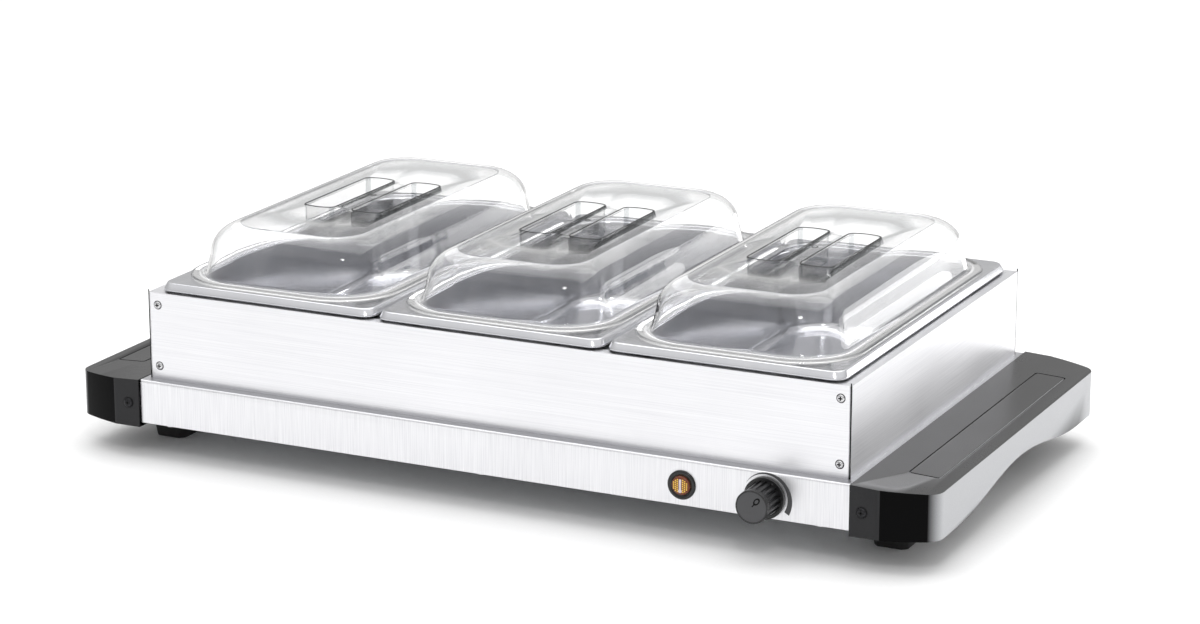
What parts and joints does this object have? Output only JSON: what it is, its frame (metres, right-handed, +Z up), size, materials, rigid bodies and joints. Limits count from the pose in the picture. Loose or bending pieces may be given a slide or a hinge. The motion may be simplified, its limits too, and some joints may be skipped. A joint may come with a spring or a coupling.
{
  "type": "electric food warmer tray",
  "caption": "Electric food warmer tray: lift-out pans with clear lids over a heated steel base with black end handles, a rotary heat control and a lamp.",
  "frame": {"origin": "on the table under the middle of the outer box", "axes": "+X to the right seen from the controls, the controls face -Y, +Z up"},
  "size_m": [0.6752, 0.3798, 0.1703],
  "materials": {
    "brushed_casing": "brushed stainless steel sheet",
    "steel_sheet": "plain zinc-coated steel",
    "frame_steel": "mill-finish stainless steel sheet",
    "heat_aluminium": "plain rolled aluminium",
    "pan_steel": "polished deep-drawn stainless steel",
    "lid_clear": "clear moulded polycarbonate",
    "handle_black": "satin moulded black plastic",
    "foot_rubber": "matt black rubber",
    "bright_screw": "bright steel",
    "black_screw": "black oxide",
    "knob_plastic": "moulded dark grey plastic",
    "shaft_steel": "turned steel",
    "regulator_case": "dark moulded phenolic",
    "lamp_black": "glossy black plastic",
    "lamp_amber": "translucent amber lens",
    "element_sheath": "heat-darkened steel sheath",
    "ceramic": "unglazed white ceramic",
    "mineral_wool": "mineral wool mat",
    "earth_brass": "plain brass",
    "lead_sleeve": "silicone-sleeved wire",
    "gland_nylon": "black nylon"
  },
  "bodies": {
    "root": {"base_shell": "brushed_casing", "bottom_plate": "steel_sheet", "bottom_screws": "bright_screw", "left_end_bracket": "steel_sheet", "right_end_bracket": "steel_sheet", "front_panel": "brushed_casing", "back_panel": "brushed_casing", "left_panel": "brushed_casing", "right_panel": "brushed_casing", "panel_screws": "bright_screw", "pan_frame": "frame_steel", "left_crossbar": "steel_sheet", "right_crossbar": "steel_sheet", "hot_plate": "heat_aluminium", "heating_element": "element_sheath", "element_clamps": "steel_sheet", "element_bushes": "ceramic", "reflector_tray": "heat_aluminium", "insulation_mat": "mineral_wool", "overheat_cutout": "regulator_case", "heat_regulator": "regulator_case", "regulator_nut": "bright_screw", "lamp_bezel": "lamp_black", "lamp_lens": "lamp_amber", "lamp_body": "lamp_black", "terminal_block": "ceramic", "earth_stud": "earth_brass", "internal_wiring": "lead_sleeve", "cord_gland": "gland_nylon", "gland_nut": "gland_nylon", "left_handle": "handle_black", "right_handle": "handle_black", "handle_screws": "black_screw", "front_left_foot": "foot_rubber", "front_right_foot": "foot_rubber", "back_left_foot": "foot_rubber", "back_right_foot": "foot_rubber", "foot_screws": "bright_screw"},
    "knob": {"control_knob": "knob_plastic", "regulator_shaft": "shaft_steel"},
    "left_pan": {"left_pan": "pan_steel"},
    "left_lid": {"left_lid": "lid_clear"},
    "centre_pan": {"centre_pan": "pan_steel"},
    "centre_lid": {"centre_lid": "lid_clear"},
    "right_pan": {"right_pan": "pan_steel"},
    "right_lid": {"right_lid": "lid_clear"}
  },
  "joints": [
    {"name": "knob_turn", "type": "hinge", "parent": "root", "child": "knob", "pos_m": [0.2176, -0.1673, 0.0412], "axis": [0, 1, 0], "range_deg": [-98, 81]},
    {"name": "left_pan_lift", "type": "slide", "parent": "root", "child": "left_pan", "axis": [0, 0, 1], "range_m": [0, 0.12]},
    {"name": "centre_pan_lift", "type": "slide", "parent": "root", "child": "centre_pan", "axis": [0, 0, 1], "range_m": [0, 0.12]},
    {"name": "right_pan_lift", "type": "slide", "parent": "root", "child": "right_pan", "axis": [0, 0, 1], "range_m": [0, 0.12]},
    {"name": "left_lid_lift", "type": "slide", "parent": "left_pan", "child": "left_lid", "axis": [0, 0, 1], "range_m": [0, 0.08]},
    {"name": "centre_lid_lift", "type": "slide", "parent": "centre_pan", "child": "centre_lid", "axis": [0, 0, 1], "range_m": [0, 0.08]},
    {"name": "right_lid_lift", "type": "slide", "parent": "right_pan", "child": "right_lid", "axis": [0, 0, 1], "range_m": [0, 0.08]}
  ]
}
